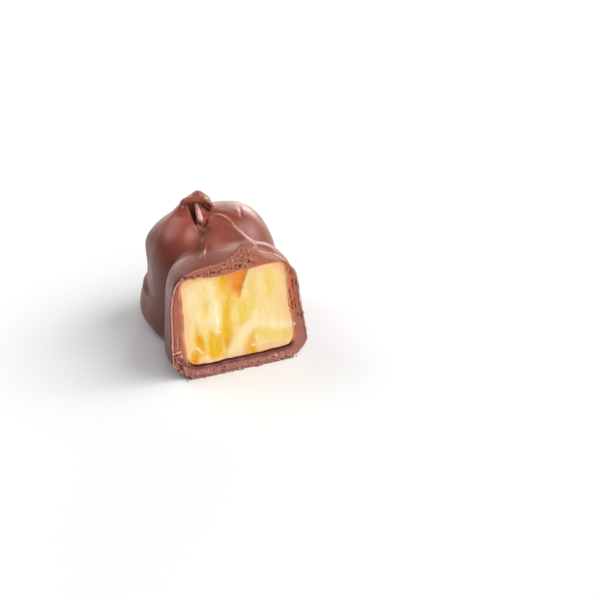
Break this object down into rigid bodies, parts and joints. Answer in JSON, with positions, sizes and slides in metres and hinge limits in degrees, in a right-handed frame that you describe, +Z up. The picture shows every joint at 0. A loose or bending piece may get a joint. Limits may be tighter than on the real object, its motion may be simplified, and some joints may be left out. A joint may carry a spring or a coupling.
{
  "type": "filled chocolate",
  "caption": "Hand-dipped milk chocolate with two rounded lobes, cut across near one end to show its cream filling, with a fork swirl on top.",
  "frame": {"origin": "middle of the bounding box, at the level of the flat underside", "axes": "+Z up, +Y along the piece from the cut face towards the whole rear lobe, +X to the right of someone who looks at the cut face"},
  "size_m": [0.0253, 0.0282, 0.0242],
  "materials": {
    "milk_chocolate": "satin milk chocolate, porous where it is cut",
    "yellow_cream": "soft pale yellow cream with amber streaks, slightly moist"
  },
  "bodies": {
    "root": {"coating": "milk_chocolate", "cream_filling": "yellow_cream"}
  },
  "joints": []
}
